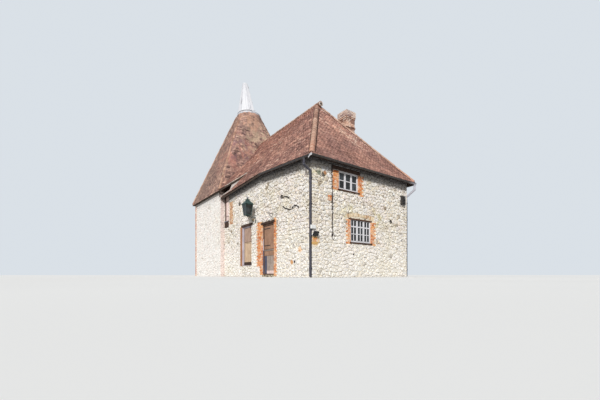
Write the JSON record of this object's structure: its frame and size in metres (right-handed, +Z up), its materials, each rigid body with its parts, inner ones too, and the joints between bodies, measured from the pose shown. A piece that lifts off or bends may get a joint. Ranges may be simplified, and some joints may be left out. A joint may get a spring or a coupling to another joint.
{
  "type": "oast house",
  "caption": "Stone hop-drying house with a tall tiled kiln roof, turning white cowl, hipped tiled main roof, stable doors and barred windows.",
  "frame": {"origin": "underside of the ground floor, under the middle of the main block", "axes": "+Z up; +X along the building from the kiln to the hipped end; -Y out of the front wall with the doors"},
  "size_m": [13.4903, 6.786, 13.48],
  "materials": {
    "rubble_stone": "rough",
    "brickwork": "rough",
    "floor_screed": "rough",
    "clay_tile": "rough",
    "ridge_clay": "rough",
    "floor_boards": "matt",
    "white_boards": "painted",
    "door_planks": "weathered",
    "door_frame_paint": "painted",
    "window_glass": "clear",
    "dark_iron": "matt",
    "gutter_grey": "satin",
    "lantern_paint": "satin"
  },
  "bodies": {
    "house": {"front_wall_left": "rubble_stone", "front_wall_over_left_door": "rubble_stone", "front_wall_between_doors": "rubble_stone", "front_wall_over_right_door": "rubble_stone", "front_wall_right": "rubble_stone", "end_wall": "rubble_stone", "rear_wall": "rubble_stone", "kiln_front_wall": "rubble_stone", "kiln_left_wall": "rubble_stone", "kiln_rear_wall": "rubble_stone", "kiln_inner_wall": "rubble_stone", "ground_floor": "floor_screed", "kiln_floor": "floor_screed", "upper_floor": "floor_boards", "roof_front": "clay_tile", "roof_end": "clay_tile", "roof_rear": "clay_tile", "ridge_tiles": "ridge_clay", "hip_tiles": "ridge_clay", "valley_skirt": "clay_tile", "kiln_slope_front": "clay_tile", "kiln_slope_right": "clay_tile", "kiln_slope_rear": "clay_tile", "kiln_slope_left": "clay_tile", "kiln_hip_tiles": "ridge_clay", "cowl_curb": "white_boards", "cowl_beam": "floor_boards", "chimney_stack": "brickwork", "chimney_cap": "brickwork", "gutters": "gutter_grey", "downpipes": "gutter_grey", "left_door_frame": "door_frame_paint", "right_door_frame": "door_frame_paint", "end_window_frames": "white_boards", "end_window_glass": "window_glass", "rear_window_frames": "white_boards", "rear_window_glass": "window_glass", "window_sills": "brickwork", "hatch_frame": "door_frame_paint", "hatch_boards": "door_planks", "wall_lantern": "lantern_paint", "wall_irons": "dark_iron", "wall_lights": "lantern_paint", "wall_conduit": "dark_iron", "louvre_box": "gutter_grey"},
    "turning_cowl": {"cowl": "white_boards", "cowl_spindle": "white_boards"},
    "left_lower_door": {"left_door_lower_leaf": "door_planks"},
    "left_upper_door": {"left_door_upper_leaf": "door_planks"},
    "right_lower_door": {"right_door_lower_leaf": "door_planks"},
    "right_upper_door": {"right_door_upper_leaf": "door_planks"}
  },
  "joints": [
    {"name": "cowl_turn", "type": "hinge", "parent": "house", "child": "turning_cowl", "pos_m": [-6.505, -0.125, 11], "axis": [0, 0, 1], "continuous": true},
    {"name": "left_lower_hinge", "type": "hinge", "parent": "house", "child": "left_lower_door", "pos_m": [-1.726, -2.7, 1.2], "axis": [0, 0, 1], "range_deg": [0, 95]},
    {"name": "left_upper_hinge", "type": "hinge", "parent": "house", "child": "left_upper_door", "pos_m": [-1.726, -2.7, 2.15], "axis": [0, 0, 1], "range_deg": [0, 95]},
    {"name": "right_lower_hinge", "type": "hinge", "parent": "house", "child": "right_lower_door", "pos_m": [0.414, -2.7, 0.7], "axis": [0, 0, 1], "range_deg": [0, 95]},
    {"name": "right_upper_hinge", "type": "hinge", "parent": "house", "child": "right_upper_door", "pos_m": [0.414, -2.7, 1.8], "axis": [0, 0, 1], "range_deg": [0, 95]}
  ]
}
